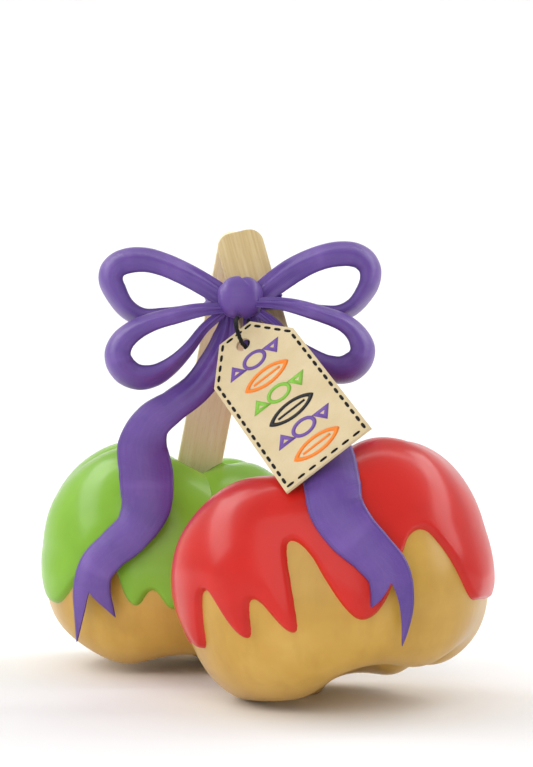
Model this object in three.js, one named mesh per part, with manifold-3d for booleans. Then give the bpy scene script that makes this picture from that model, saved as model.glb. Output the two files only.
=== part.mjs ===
// A pair of toffee apples, tied together at their sticks by one ribbon bow with a gift tag.
// Millimetres, +Z up, the front of the pair towards -Y. The origin is on the ground, under the
// middle of the pair. Each apple is caramel all over, with a coat of coloured candy poured on top.

import * as THREE from 'three';
import { mergeVertices } from 'three/addons/utils/BufferGeometryUtils.js';
import Module from 'manifold-3d';

const wasm = await Module();
wasm.setup();

const DEG = Math.PI / 180;

// ---------------------------------------------------------------- driving dimensions
const CLEARANCE = 0.3; // between pieces that touch
const CANDY = 1.4; // how far the candy stands out from the caramel
const EASE = 1.7; // how gently the candy's edge leaves a turning point: 1 is a zigzag

// Lobes are the azimuths of the apple's ridges, in degrees from +X towards +Y. A lean is in degrees.
// outPower and upPower set how square the outline is. heel and shoulder raise the left side's
// share of the height below and above the middle, and taper narrows the bottom.
// The candy's edge turns at its gaps and drip tips: [azimuth, polar angle from the top].
const RED_APPLE = {
  name: 'red_apple',
  candyColour: 0xd83933,
  centre: [20.3, -31.2, 33.5],
  leanLeft: 14.6,
  leanBack: 10,
  halfWidth: 41,
  halfDepth: 38,
  topRise: 32.4,
  bottomDrop: 34.4,
  outPower: 0.7,
  upPower: 0.88,
  taper: -0.045,
  heel: 0,
  shoulder: -0.088,
  lobes: [-135, -45, 15, 62, 128],
  top: { dimple: 16, dimpleWidth: 17.4, valley: 3.2, rim: 21, sharp: 0 },
  bottom: { dimple: 14.7, dimpleWidth: 15.4, valley: 4.3, rim: 15.4, sharp: 0 },
  drips: [
    [-177, 92], [-155, 107.4], [-142.3, 87.4], [-128.6, 109.4], [-122.9, 94.4], [-110.6, 113], [-104.3, 77.3],
    [-85.3, 115.4], [-57.4, 87], [-33, 117.6], [-12, 118], [6, 93], [17, 106], [25, 99], [37, 122], [58, 84],
    [70, 102], [77, 95], [92, 118], [118, 88], [141, 113], [150, 99], [166, 104],
  ],
};
const GREEN_APPLE = {
  name: 'green_apple',
  candyColour: 0x88b945,
  centre: [-22.6, 34.4, 31.8],
  leanLeft: -4.3,
  leanBack: 0,
  halfWidth: 38.9,
  halfDepth: 36.2,
  topRise: 35.8,
  bottomDrop: 40.7,
  outPower: 1.13,
  upPower: 0.805,
  taper: -0.119,
  heel: -0.024,
  shoulder: 0.112,
  lobes: [-125, -20, 45, 140],
  top: { dimple: 24.7, dimpleWidth: 12.2, valley: 4.2, rim: 22.2, sharp: 1 },
  bottom: { dimple: 13.4, dimpleWidth: 20.3, valley: 4.7, rim: 18.5, sharp: 0 },
  drips: [
    [-178, 96], [-151.8, 107.9], [-117.8, 89], [-103.7, 103.3], [-97.5, 96.3], [-88.1, 103.8], [-70, 90],
    [-50, 110], [-36, 88], [-24, 101], [-15, 95], [3, 114], [30, 87], [47, 112], [56, 98], [70, 106],
    [92, 89], [114, 118], [128, 100], [140, 108], [156, 90], [168, 101],
  ],
};
const CARAMEL = 0xcda452;

const STICK = { width: 12.8, thickness: 2.8, length: 104, corner: 4, soft: 0.5, colour: 0xd4be8f };
const STICK_TOP = 124.4; // height of the sticks' tops
const STICK_SPLAY = 0.34; // how far a stick leans in depth for each millimetre of height
const STICK_TOP_DEPTH = 1.7; // a stick's middle from the plane between the two, at its top
const MIDDLE = 1.3; // that plane's y
// Where each stick's middle is at its top, and how far it moves in x for each millimetre down.
const RED_STICK = { name: 'red_apple_stick', topX: -4.5, slopeX: 0.275, side: -1 };
const GREEN_STICK = { name: 'green_apple_stick', topX: -2.9, slopeX: -0.2, side: 1 };

const PURPLE = 0x704f9e;
const RIBBON_THICKNESS = 1.2;
const KNOT = {
  centre: [-3.4, -15.8, 105.9], width: 12, height: 11.8, depth: 10, crease: 1.1, creaseWidth: 0.3,
};
const WRAP = { height: 5, thickness: 1 };

// A loop's outer edge runs through these points, [x, z] from the knot's middle, counter-clockwise.
// At even steps along it, `front` is the y of the edge that faces the front and `band` is how wide the
// loop looks from the front. A band that looks narrow is turned edge-on, so it is deeper.
const LOOP = { edgeOn: 12, flatter: 0.45, depthAtKnot: 2.6 };
const EVENED = [-0.08, -0.04, 0, 0.04, 0.08]; // the shares of its length over which a loop is averaged
const LOOPS = [
  {
    name: 'bow_loop_upper_left',
    front: [0.6, 2.6, 3.4, 4.8, 4.4],
    band: [6, 6.8, 6.4, 7.2, 7.8, 7.7, 6.5, 5.4, 4.4, 3.4, 2.6],
    points: [
      [-1.2, 2], [-8.2, 6.6], [-14, 9.9], [-19.6, 12.5], [-25.4, 14.2], [-31, 14.2], [-35.8, 12.4],
      [-38.7, 9], [-39.2, 4.6], [-37, -0.2], [-32.8, -5.2], [-27.4, -7.6], [-20, -6.7], [-12, -4.9],
      [-4, -3.4],
    ],
  },
  {
    name: 'bow_loop_lower_left',
    front: [-2.5, -6.4, -8.4, -5.6, -2.3],
    band: [2, 4.6, 5.1, 5.6, 7.4, 8, 7.8, 5.9, 3.7, 2.8, 2.6],
    points: [
      [-2.4, -1.5], [-11, -1.4], [-18.9, -2.6], [-25.5, -4.3], [-30.6, -6.6], [-34.6, -10], [-36.6, -14.4],
      [-36, -19], [-33, -23], [-27.6, -25], [-22.2, -23.9], [-17.2, -20.3], [-12.4, -14.8], [-8.6, -9.4],
      [-3.4, -4.8],
    ],
  },
  {
    name: 'bow_loop_upper_right',
    front: [0.6, 2.4, 3.2, 2.2, 0.6],
    band: [2.6, 3.2, 4, 4.7, 5.3, 6.9, 7.6, 7.3, 7.1, 8, 6],
    points: [
      [4, -2.9], [11, -3.4], [17, -4.8], [22.5, -6], [27.4, -6.2], [31.8, -4.4], [35.4, -0.8], [38, 3.5],
      [38.6, 8.4], [36.4, 12.9], [32, 15.5], [26.2, 15.9], [20, 14.5], [13.5, 11.6], [8.2, 8], [0.8, 1.6],
    ],
  },
  {
    name: 'bow_loop_lower_right',
    front: [-3.6, -8.6, -10, -8.4, -4.4],
    band: [2.6, 3.4, 5, 7, 8, 7.8, 6.4, 4.8, 5.1, 4, 2.4],
    points: [
      [4, -5.2], [7.6, -8.2], [11.2, -12.9], [16, -17.8], [21, -21.6], [26.4, -23.4], [31.6, -22.2],
      [35.2, -18.5], [36.2, -13.6], [34.1, -8.9], [29.6, -4.9], [22.4, -2.2], [14.4, -0.3], [9, 0.1],
      [4, 0],
    ],
  },
];

// A tail's points are [x, y, z], and `turned` is how far its face turns towards -X at them, in degrees.
// `cut` is how far its two corners and the notch between them end before the last point.
const TAILS = [
  {
    name: 'bow_tail_left',
    cut: [0, 13.8, 5.8],
    points: [
      [-6.2, -13.6, 101.9], [-7.4, -12.9, 95.4], [-11, -12.6, 87.4], [-15.6, -12.6, 81.4], [-22, -12.2, 76.6],
      [-27.8, -10.8, 72], [-30.3, -8.8, 65.4], [-29.4, -7.6, 57.4], [-29.8, -7, 49.4], [-33.6, -5.4, 42.1],
      [-39.6, -3.4, 36.6], [-44, -1.6, 31.4], [-45.2, -0.8, 25.4], [-44.4, -0.4, 18.4], [-43.4, 0, 11.4],
    ],
    turned: [0, 0, 0, 10, 20, 15, 5, 0, 10, 30, 35, 30, 25, 20, 15],
    widths: [4, 7, 8.5, 8.5, 9, 11, 14, 15, 14.5, 12, 11, 11.5, 12, 12.5, 13],
  },
  {
    name: 'bow_tail_right',
    cut: [8, 16, 0],
    points: [
      [-0.8, -14.6, 101.2], [0.5, -15.4, 95.6], [3.4, -20.5, 89], [8.8, -32.5, 81], [14.6, -45, 71.9],
      [18.6, -55.6, 64], [19.7, -63.6, 58], [20.6, -67.8, 52.4], [24, -70.2, 47], [29, -71, 42],
      [33, -71.4, 37], [34, -71.2, 30.4], [33, -69.6, 24.4], [31.6, -67.2, 20],
    ],
    turned: [0, 0],
    widths: [4, 6.5, 10, 13, 14, 14, 14, 13.5, 12.5, 11, 10.5, 10.5, 10.5, 10.5],
  },
];

// The tag leans from its hole, below the knot, down to the red apple's shoulder.
const TAG = {
  hole: [-2.4, -25.5, 92.8],
  foot: [18.9, -64, 63.8],
  across: [0.792, -0.022, 0.61],
  width: 26.2,
  thickness: 0.9,
  holeRadius: 2,
  aboveHole: 5.4,
  chamferAcross: 7.9,
  chamferAlong: 12,
  colour: 0xe4cfa8,
};
// The string leaves the knot, goes through the tag's hole from the front and back up behind the tag.
const STRING = {
  diameter: 1.2,
  colour: 0x151317,
  points: [
    [-4.2, -18.4, 100.3], [-4.3, -20.1, 100.1], [-4.4, -21.8, 99.8], [-4.5, -23.5, 99.5], [-4.6, -25.2, 99.1],
    [-4.5, -26.9, 98.6], [-4.3, -28.2, 97.5], [-3.9, -28.9, 96], [-3.3, -28.6, 94.4], [-2.8, -27.4, 93.3],
    [-2.2, -25.9, 92.7], [-1.7, -24.5, 92], [-1.1, -22.9, 91.8], [-0.8, -21.3, 92.4], [-0.8, -20.3, 93.7],
    [-0.9, -19.9, 95.3], [-1, -19.6, 97], [-1.2, -19.3, 98.6], [-1.3, -19, 100.2],
  ],
};

const ROUGHNESS = { caramel: 0.35, candy: 0.12, stick: 0.65, ribbon: 0.45, card: 0.8, string: 0.7 };
// How finely each shape is divided.
const STEPS = {
  apple: [32, 16], knot: [16, 10], dripSide: 3, loop: [20, 3], tail: [24, 2], stickCorner: 3, hole: 8,
  string: 12, stringSide: 4,
};

// ---------------------------------------------------------------- helpers
function solidOf(geometry) {
  const bare = geometry.clone();
  bare.deleteAttribute('normal');
  bare.deleteAttribute('uv');
  const merged = mergeVertices(bare, 1e-4);
  return new wasm.Manifold(
    new wasm.Mesh({
      numProp: 3,
      vertProperties: new Float32Array(merged.getAttribute('position').array),
      triVerts: new Uint32Array(merged.getIndex().array),
    }),
  );
}

function geometryOf(solid) {
  const mesh = solid.getMesh();
  const geometry = new THREE.BufferGeometry();
  geometry.setAttribute('position', new THREE.BufferAttribute(new Float32Array(mesh.vertProperties), 3));
  geometry.setIndex(new THREE.BufferAttribute(new Uint32Array(mesh.triVerts), 1));
  geometry.computeVertexNormals();
  return geometry;
}

// Moves every corner of a closed geometry to the place that `place` gives for it.
function reshaped(geometry, place) {
  geometry.deleteAttribute('normal');
  geometry.deleteAttribute('uv');
  const merged = mergeVertices(geometry, 1e-5);
  const position = merged.getAttribute('position');
  const corner = new THREE.Vector3();
  for (let i = 0; i < position.count; i += 1) {
    corner.fromBufferAttribute(position, i);
    const moved = place(corner);
    position.setXYZ(i, moved.x, moved.y, moved.z);
  }
  merged.computeVertexNormals();
  return merged;
}

// A ball whose corners are placed by their polar angle from +Z and their azimuth.
function wrappedBall(steps, place) {
  const ball = new THREE.SphereGeometry(1, ...steps).rotateX(90 * DEG);
  return reshaped(ball, (c) => place(Math.acos(THREE.MathUtils.clamp(c.z, -1, 1)), Math.atan2(c.y, c.x)));
}

function mesh(name, geometry, colour, roughness) {
  const material = new THREE.MeshStandardMaterial({ color: colour, roughness, metalness: 0 });
  const made = new THREE.Mesh(geometry, material);
  made.name = name;
  return made;
}

// ---------------------------------------------------------------- apples
// 1 on the ridge of a lobe and 0 in the valley between two lobes.
function lobeSwell(lobes, azimuth) {
  const turn = (((azimuth / DEG - lobes[0]) % 360) + 360) % 360;
  const spread = lobes.map((lobe) => lobe - lobes[0]);
  spread.push(360);
  const after = spread.findIndex((angle) => angle > turn);
  const share = (turn - spread[after - 1]) / (spread[after] - spread[after - 1]);
  return 0.5 + 0.5 * Math.cos(2 * Math.PI * share);
}

// A window that is 0 on the axis, 1 at `rim` and fades outside it.
function rimWindow(radius, rim) {
  const share = (radius / rim) ** 2;
  return share * Math.exp(1 - share);
}

// The same with a crease at the bottom of each valley, as `sharp` goes from 0 to 1.
function valleyDepth(lobes, azimuth, sharp) {
  const soft = 1 - lobeSwell(lobes, azimuth);
  return soft + sharp * (1 - Math.sqrt(1 - soft) - soft);
}

const FLANK_GROOVE = 0.03; // how far the valleys cut into the flanks, as a share of the width
const RIM_FADE = 3; // the dimples fade out towards the waist at this rate

function skinPoint(apple, polar, azimuth) {
  const up = Math.cos(polar);
  const low = Math.max(0, -up);
  const spread = Math.sin(polar) ** apple.outPower;
  const flank = FLANK_GROOVE * valleyDepth(apple.lobes, azimuth, 0);
  const reach = spread * (1 - flank * spread) * (1 - apple.taper * low);
  const x = apple.halfWidth * reach * Math.cos(azimuth);
  const y = apple.halfDepth * reach * Math.sin(azimuth);
  const radius = Math.hypot(x, y);
  const left = -x / apple.halfWidth;
  const [end, height, lift] =
    up > 0 ? [apple.top, apple.topRise, apple.shoulder] : [apple.bottom, apple.bottomDrop, apple.heel];
  const dimple = end.dimple * Math.exp(-((radius / end.dimpleWidth) ** 2));
  const valley = end.valley * valleyDepth(apple.lobes, azimuth, end.sharp) * rimWindow(radius, end.rim);
  const sunk = (dimple + valley) * Math.min(1, Math.abs(up) * RIM_FADE);
  const z = Math.sign(up) * (height * Math.abs(up) ** apple.upPower * (1 + lift * left) - sunk);
  return new THREE.Vector3(x, y, z);
}

// The same skin, `offset` further out along its normal.
function appleSurface(apple, polar, azimuth, offset) {
  const point = skinPoint(apple, polar, azimuth);
  if (offset === 0) return point;
  const step = 1e-3;
  const clear = Math.min(Math.max(polar, 2 * step), Math.PI - 2 * step);
  const down = skinPoint(apple, clear + step, azimuth).sub(skinPoint(apple, clear - step, azimuth));
  const round = skinPoint(apple, clear, azimuth + step).sub(skinPoint(apple, clear, azimuth - step));
  const normal = down.cross(round).normalize();
  if (polar < step || polar > Math.PI - step) normal.set(0, 0, Math.cos(polar));
  return point.addScaledVector(normal, offset);
}

function appleBall(apple, offset) {
  return wrappedBall(STEPS.apple, (polar, azimuth) => appleSurface(apple, polar, azimuth, offset));
}

const CUTTER = { reach: 1.4, top: 60, rows: 3 }; // it reaches past the skin, as a multiple, and above it

// The candy's edge in a column of its cutter: azimuth and polar angle.
function candyEdge(drips, column) {
  const stop = Math.floor(column / STEPS.dripSide);
  const [angle, edge] = drips[stop];
  const [nextAngle, nextEdge] = stop + 1 < drips.length ? drips[stop + 1] : [drips[0][0] + 360, drips[0][1]];
  const share = (column % STEPS.dripSide) / STEPS.dripSide;
  const eased = share ** EASE / (share ** EASE + (1 - share) ** EASE);
  return [THREE.MathUtils.lerp(angle, nextAngle, share), THREE.MathUtils.lerp(edge, nextEdge, eased)];
}

// Everything above the fan that runs from the apple's middle through the candy's edge.
function candyRegion(apple) {
  const columns = apple.drips.length * STEPS.dripSide;
  return wrappedBall([columns, CUTTER.rows], (polar, azimuth) => {
    const column = Math.round((azimuth / (360 * DEG) + 0.5) * columns) % columns;
    const [angle, edge] = candyEdge(apple.drips, column);
    const rim = skinPoint(apple, edge * DEG, angle * DEG).multiplyScalar(CUTTER.reach);
    const row = Math.round((polar * CUTTER.rows) / Math.PI);
    if (row === 0) return new THREE.Vector3(0, 0, CUTTER.top + 1);
    if (row === 1) return rim.setZ(CUTTER.top);
    return row === 2 ? rim : rim.set(0, 0, 0);
  });
}

// ---------------------------------------------------------------- sticks
// The stick lies along +Y with its top end at the origin, its width along X.
function stickBlank(extra) {
  const half = STICK.width / 2 + extra;
  const corner = STICK.corner + extra;
  const outline = new THREE.Shape();
  outline.moveTo(-half + corner, -STICK.length - extra);
  outline.lineTo(half - corner, -STICK.length - extra);
  outline.absarc(half - corner, -STICK.length - extra + corner, corner, -90 * DEG, 0, false);
  outline.lineTo(half, extra - corner);
  outline.absarc(half - corner, extra - corner, corner, 0, 90 * DEG, false);
  outline.lineTo(-half + corner, extra);
  outline.absarc(-half + corner, extra - corner, corner, 90 * DEG, 180 * DEG, false);
  outline.lineTo(-half, -STICK.length - extra + corner);
  outline.absarc(-half + corner, -STICK.length - extra + corner, corner, 180 * DEG, 270 * DEG, false);
  const thickness = STICK.thickness + 2 * extra;
  const soft = STICK.soft;
  return new THREE.ExtrudeGeometry(outline, {
    depth: thickness - 2 * soft, bevelEnabled: true, bevelThickness: soft, bevelSize: soft,
    bevelOffset: -soft, bevelSegments: 1, curveSegments: STEPS.stickCorner,
  }).translate(0, 0, soft - thickness / 2);
}

function stickPlace(stick) {
  const top = new THREE.Vector3(stick.topX, MIDDLE + stick.side * STICK_TOP_DEPTH, STICK_TOP);
  const along = new THREE.Vector3(-stick.slopeX, -stick.side * STICK_SPLAY, 1).normalize();
  const across = new THREE.Vector3(1, 0, 0).addScaledVector(along, -along.x).normalize();
  const face = new THREE.Vector3().crossVectors(across, along);
  return new THREE.Matrix4().makeBasis(across, along, face).setPosition(top);
}

// ---------------------------------------------------------------- ribbon
// A strip: a box whose length, width and thickness go from 0 to 1 and are laid out by `place`.
function strip(steps, place) {
  const box = new THREE.BoxGeometry(1, 1, 1, ...steps).translate(0.5, 0.5, 0.5);
  return reshaped(box, (c) => place(c.x, c.y, c.z));
}

function curveThrough(points) {
  return new THREE.CatmullRomCurve3(points.map((p) => new THREE.Vector3(...p)), false, 'centripetal');
}

// 0 at both ends and 1 from a quarter of the way to three quarters of it.
function swellFromKnot(share) {
  const near = Math.min(1, 4 * Math.min(share, 1 - share));
  return near * near * (3 - 2 * near);
}

const CURL_IN = 25 * DEG; // how far the band's inner edge curls back
const CURL = 115 * DEG; // the band's whole arch

// A value that changes evenly from each entry of a list to the next, as `share` goes from 0 to 1.
function spread(list, share) {
  const place = Math.min(share, 1) * (list.length - 1);
  const from = Math.min(Math.floor(place), list.length - 2);
  return THREE.MathUtils.lerp(list[from], list[from + 1], place - from);
}

function loopGeometry(loop) {
  const path = curveThrough(loop.points.map(([x, z]) => [x, 0, z]));
  return strip(STEPS.loop, (along, across, deep) => {
    const places = EVENED.map((near) => THREE.MathUtils.clamp(along + near, 0, 1));
    const tangent = places.reduce((sum, share) => sum.add(path.getTangentAt(share)), new THREE.Vector3());
    const outward = new THREE.Vector3(tangent.z, 0, -tangent.x).normalize();
    const swell = swellFromKnot(along);
    const band = places.reduce((sum, share) => sum + spread(loop.band, share), 0) / places.length;
    const depth = THREE.MathUtils.lerp(LOOP.depthAtKnot, LOOP.edgeOn - LOOP.flatter * band, swell * swell);
    const angle = across * CURL - CURL_IN;
    const reach = band / (1 + Math.sin(CURL_IN));
    const out = reach * (Math.sin(angle) + Math.sin(CURL_IN)) - band;
    const back = spread(loop.front, along) + depth * (1 - Math.cos(angle));
    const normal = new THREE.Vector2(depth * Math.sin(angle), -reach * Math.cos(angle)).normalize();
    const sunk = deep * RIBBON_THICKNESS;
    return path
      .getPointAt(along)
      .addScaledVector(outward, out - normal.x * sunk)
      .add(new THREE.Vector3(0, back - normal.y * sunk, 0));
  });
}

const FORK_START = 0.75; // the share of a tail's length that the fork leaves as it is

function tailGeometry(tail) {
  const path = curveThrough(tail.points);
  const length = path.getLength();
  const [leftEnd, notch, rightEnd] = tail.cut;
  return strip(STEPS.tail, (along, across, deep) => {
    const corner = across < 0.5 ? leftEnd : rightEnd;
    const ending = THREE.MathUtils.lerp(notch, corner, Math.abs(2 * across - 1));
    const nearEnd = Math.max(0, along - FORK_START) / (1 - FORK_START);
    const share = along - (nearEnd * ending) / length;
    const t = path.getUtoTmapping(share);
    const turned = spread(tail.turned, t) * DEG;
    const face = new THREE.Vector3(-Math.sin(turned), -Math.cos(turned), 0);
    const side = new THREE.Vector3().crossVectors(path.getTangent(t), face).normalize();
    face.crossVectors(side, path.getTangent(t)).normalize();
    return path
      .getPoint(t)
      .addScaledVector(side, (0.5 - across) * spread(tail.widths, t))
      .addScaledVector(face, (deep - 0.5) * RIBBON_THICKNESS);
  });
}

function knotBall(extra) {
  return wrappedBall(STEPS.knot, (polar, azimuth) => {
    const x = Math.sin(polar) * Math.cos(azimuth);
    const y = Math.sin(polar) * Math.sin(azimuth);
    const z = Math.cos(polar);
    const pinch = 1 - (KNOT.crease / KNOT.height) * Math.exp(-((x / KNOT.creaseWidth) ** 2)) * z * z;
    return new THREE.Vector3(
      x * (KNOT.width / 2 + extra), y * (KNOT.depth / 2 + extra), z * (KNOT.height / 2 + extra) * pinch,
    );
  });
}

const AROUND = 80; // a box this wide takes in both sticks
const PAST = 1; // how far a cutter reaches past what it cuts

// The tightest outline round both sticks, `extra` away from them, for a slice at the knot's height.
function stickBundle(extra, height) {
  const slice = solidOf(new THREE.BoxGeometry(AROUND, AROUND, height).translate(...KNOT.centre));
  const slices = [RED_STICK, GREEN_STICK].map((stick) => {
    const blank = stickBlank(extra).applyMatrix4(stickPlace(stick));
    return solidOf(blank).intersect(slice);
  });
  return wasm.Manifold.hull(slices);
}

function wrapGeometry() {
  const outer = stickBundle(CLEARANCE + WRAP.thickness, WRAP.height);
  return geometryOf(outer.subtract(stickBundle(CLEARANCE, WRAP.height + 2 * PAST)));
}

// ---------------------------------------------------------------- tag and string
function tagGeometry() {
  const half = TAG.width / 2;
  const top = TAG.aboveHole;
  const foot = -new THREE.Vector3(...TAG.foot).distanceTo(new THREE.Vector3(...TAG.hole));
  const outline = new THREE.Shape([
    new THREE.Vector2(-half, foot), new THREE.Vector2(half, foot),
    new THREE.Vector2(half, top - TAG.chamferAlong), new THREE.Vector2(half - TAG.chamferAcross, top),
    new THREE.Vector2(-half + TAG.chamferAcross, top), new THREE.Vector2(-half, top - TAG.chamferAlong),
  ]);
  outline.holes.push(new THREE.Path().absarc(0, 0, TAG.holeRadius, 0, 360 * DEG, true));
  const card = { depth: TAG.thickness, bevelEnabled: false, curveSegments: STEPS.hole };
  return new THREE.ExtrudeGeometry(outline, card).translate(0, 0, -TAG.thickness / 2);
}

function tagPlace() {
  const hole = new THREE.Vector3(...TAG.hole);
  const up = hole.clone().sub(new THREE.Vector3(...TAG.foot)).normalize();
  const across = new THREE.Vector3(...TAG.across);
  across.addScaledVector(up, -up.dot(across)).normalize();
  const out = new THREE.Vector3().crossVectors(across, up);
  return new THREE.Matrix4().makeBasis(across, up, out).setPosition(hole);
}

function stringGeometry() {
  const route = curveThrough(STRING.points);
  const section = new THREE.Shape().absarc(0, 0, STRING.diameter / 2, 0, 360 * DEG, false);
  const steps = { steps: STEPS.string, curveSegments: STEPS.stringSide, extrudePath: route };
  return new THREE.ExtrudeGeometry(section, steps);
}

// ---------------------------------------------------------------- the pair
const pair = new THREE.Group();

function placed(name, geometry, matrix, colour, roughness) {
  const made = mesh(name, geometry, colour, roughness);
  matrix.decompose(made.position, made.quaternion, made.scale);
  pair.add(made);
}

const GROUND = { width: 300, depth: 40 };

function addApple(apple, stick) {
  const group = new THREE.Group();
  group.position.set(...apple.centre);
  group.rotation.set(-apple.leanBack * DEG, -apple.leanLeft * DEG, 0);
  group.updateMatrixWorld(true);
  const toApple = group.matrixWorld.clone().invert();
  const slab = new THREE.BoxGeometry(GROUND.width, GROUND.width, GROUND.depth);
  const ground = solidOf(slab.translate(0, 0, -GROUND.depth / 2).applyMatrix4(toApple));
  const socket = solidOf(stickBlank(CLEARANCE).applyMatrix4(toApple.clone().multiply(stickPlace(stick))));
  const body = solidOf(appleBall(apple, 0)).subtract(ground).subtract(socket);
  const shell = solidOf(appleBall(apple, CANDY)).subtract(solidOf(appleBall(apple, CLEARANCE)));
  const candy = shell.intersect(solidOf(candyRegion(apple))).subtract(socket);
  group.add(mesh(`${apple.name}_caramel`, geometryOf(body), CARAMEL, ROUGHNESS.caramel));
  group.add(mesh(`${apple.name}_candy`, geometryOf(candy), apple.candyColour, ROUGHNESS.candy));
  pair.add(group);
  placed(stick.name, stickBlank(0), stickPlace(stick), STICK.colour, ROUGHNESS.stick);
}

addApple(RED_APPLE, RED_STICK);
addApple(GREEN_APPLE, GREEN_STICK);

const bow = new THREE.Group();
bow.position.set(...KNOT.centre);
pair.add(bow);
bow.add(mesh('bow_knot', knotBall(0), PURPLE, ROUGHNESS.ribbon));
const knotRoom = solidOf(knotBall(CLEARANCE));
for (const loop of LOOPS) {
  const standing = solidOf(loopGeometry(loop)).subtract(knotRoom);
  bow.add(mesh(loop.name, geometryOf(standing), PURPLE, ROUGHNESS.ribbon));
}
const fromKnot = new THREE.Matrix4().makeTranslation(...KNOT.centre).invert();
for (const tail of TAILS) {
  const lying = solidOf(tailGeometry(tail).applyMatrix4(fromKnot)).subtract(knotRoom);
  bow.add(mesh(tail.name, geometryOf(lying), PURPLE, ROUGHNESS.ribbon));
}
pair.add(mesh('bow_wrap', wrapGeometry(), PURPLE, ROUGHNESS.ribbon));
placed('tag', tagGeometry(), tagPlace(), TAG.colour, ROUGHNESS.card);
pair.add(mesh('tag_string', stringGeometry(), STRING.colour, ROUGHNESS.string));

export default pair;
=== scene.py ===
# A pair of toffee apples, tied together at their sticks by one ribbon bow with a gift tag.
# Sizes are millimetres until a corner is placed, +Z is up and the front of the pair is towards -Y.

import math

import bmesh
import bpy
import numpy as np
from mathutils import Matrix, Vector, kdtree


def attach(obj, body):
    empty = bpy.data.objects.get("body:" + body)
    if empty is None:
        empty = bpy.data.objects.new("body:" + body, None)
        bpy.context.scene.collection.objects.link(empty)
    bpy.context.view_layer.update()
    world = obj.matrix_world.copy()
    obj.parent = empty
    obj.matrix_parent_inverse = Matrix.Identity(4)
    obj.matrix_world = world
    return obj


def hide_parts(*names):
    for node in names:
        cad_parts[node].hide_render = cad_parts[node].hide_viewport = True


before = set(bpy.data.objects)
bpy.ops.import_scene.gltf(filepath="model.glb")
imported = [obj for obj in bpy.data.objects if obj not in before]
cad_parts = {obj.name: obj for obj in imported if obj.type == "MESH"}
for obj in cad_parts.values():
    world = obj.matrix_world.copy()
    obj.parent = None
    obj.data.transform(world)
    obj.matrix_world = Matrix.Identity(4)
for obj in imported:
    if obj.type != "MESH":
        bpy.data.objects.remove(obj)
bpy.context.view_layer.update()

MM = 0.001

# ---------------------------------------------------------------- the view
# From the front, level with the bow's lower loops and about half a metre off, so that both apples,
# the bow and the tag show.
camera = bpy.data.objects.new("camera", bpy.data.cameras.new("camera"))
camera.data.lens = 92
camera.location = (0.0036, -0.544, 0.0827)
camera.rotation_euler = (math.radians(90), 0, 0)
bpy.context.collection.objects.link(camera)
bpy.context.scene.camera = camera


# ---------------------------------------------------------------- tag string
# The string that carries the tag is three-ply black cotton, twisted, 1.2 mm thick. It leaves the
# knot at the bottom, goes through the tag's hole from the front and back up behind the tag.
STRING = {
    "width": 1.2, "plies": 3, "groove": 0.17, "lay": 3.6, "columns": 24, "rows": 150, "path_points": 60,
}
STRING_ROUTE = [
    (-4.2, -18.4, 100.3), (-4.3, -20.1, 100.1), (-4.4, -21.8, 99.8), (-4.5, -23.5, 99.5), (-4.6, -25.2, 99.1),
    (-4.5, -26.9, 98.6), (-4.3, -28.2, 97.5), (-3.9, -28.9, 96), (-3.3, -28.6, 94.4), (-2.8, -27.4, 93.3),
    (-2.2, -25.9, 92.7), (-1.7, -24.5, 92), (-1.1, -22.9, 91.8), (-0.8, -21.3, 92.4), (-0.8, -20.3, 93.7),
    (-0.9, -19.9, 95.3), (-1, -19.6, 97), (-1.2, -19.3, 98.6), (-1.3, -19, 100.2),
]


def lengths(vectors):
    return np.linalg.norm(vectors, axis=-1, keepdims=True)


class Route:
    """A smooth curve through points, walked by the share of its length."""

    STEPS = 40  # from one point to the next
    SLANTED = (0.3, 0.5, 0.8)  # no curve starts in this direction

    def __init__(self, points):
        points = np.array(points, float)
        outer = np.vstack([2 * points[0] - points[1], points, 2 * points[-1] - points[-2]])
        gaps = np.sqrt(lengths(np.diff(outer, axis=0)))
        step = np.linspace(0, 1, self.STEPS, endpoint=False)[:, None]
        runs = []
        for i in range(len(points) - 1):
            before, start, end, after = outer[i:i + 4]
            left, middle, right = gaps[i:i + 3]
            leave = middle * (
                (start - before) / left - (end - before) / (left + middle) + (end - start) / middle
            )
            arrive = middle * (
                (end - start) / middle - (after - start) / (middle + right) + (after - end) / right
            )
            bend = 3 * (end - start) - 2 * leave - arrive
            twist = leave + arrive - 2 * (end - start)
            runs.append(start + step * (leave + step * (bend + step * twist)))
        self.places = np.vstack([*runs, points[-1:]])
        self.stations = np.linspace(0, 1, len(self.places))
        self.headings = np.gradient(self.places, axis=0)
        self.headings /= lengths(self.headings)
        self.walked = np.concatenate([[0], np.cumsum(lengths(np.diff(self.places, axis=0)))])
        self.length = self.walked[-1]

    def _read(self, table, share):
        return np.stack([np.interp(share * self.length, self.walked, row) for row in table.T], axis=-1)

    def at(self, share):
        return self._read(self.places, share)

    def heading(self, share):
        found = self._read(self.headings, share)
        return found / lengths(found)

    def station(self, share):
        """The share of the points that are passed at this share of the length."""
        return np.interp(share * self.length, self.walked, self.stations)

    def side(self, share):
        """A direction square to the curve, which doesn't turn about it on the way."""
        sides = [np.cross(self.headings[0], self.SLANTED)]
        for heading in self.headings[1:]:
            side = sides[-1] - heading * (sides[-1] @ heading)
            sides.append(side / np.linalg.norm(side))
        found = self._read(np.array(sides), share)
        return found / lengths(found)


def corner_places(grown):
    return np.array([tuple(corner.co) for corner in grown.verts])


def put(grown, places):
    for corner, place in zip(grown.verts, places):
        corner.co = place


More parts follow.
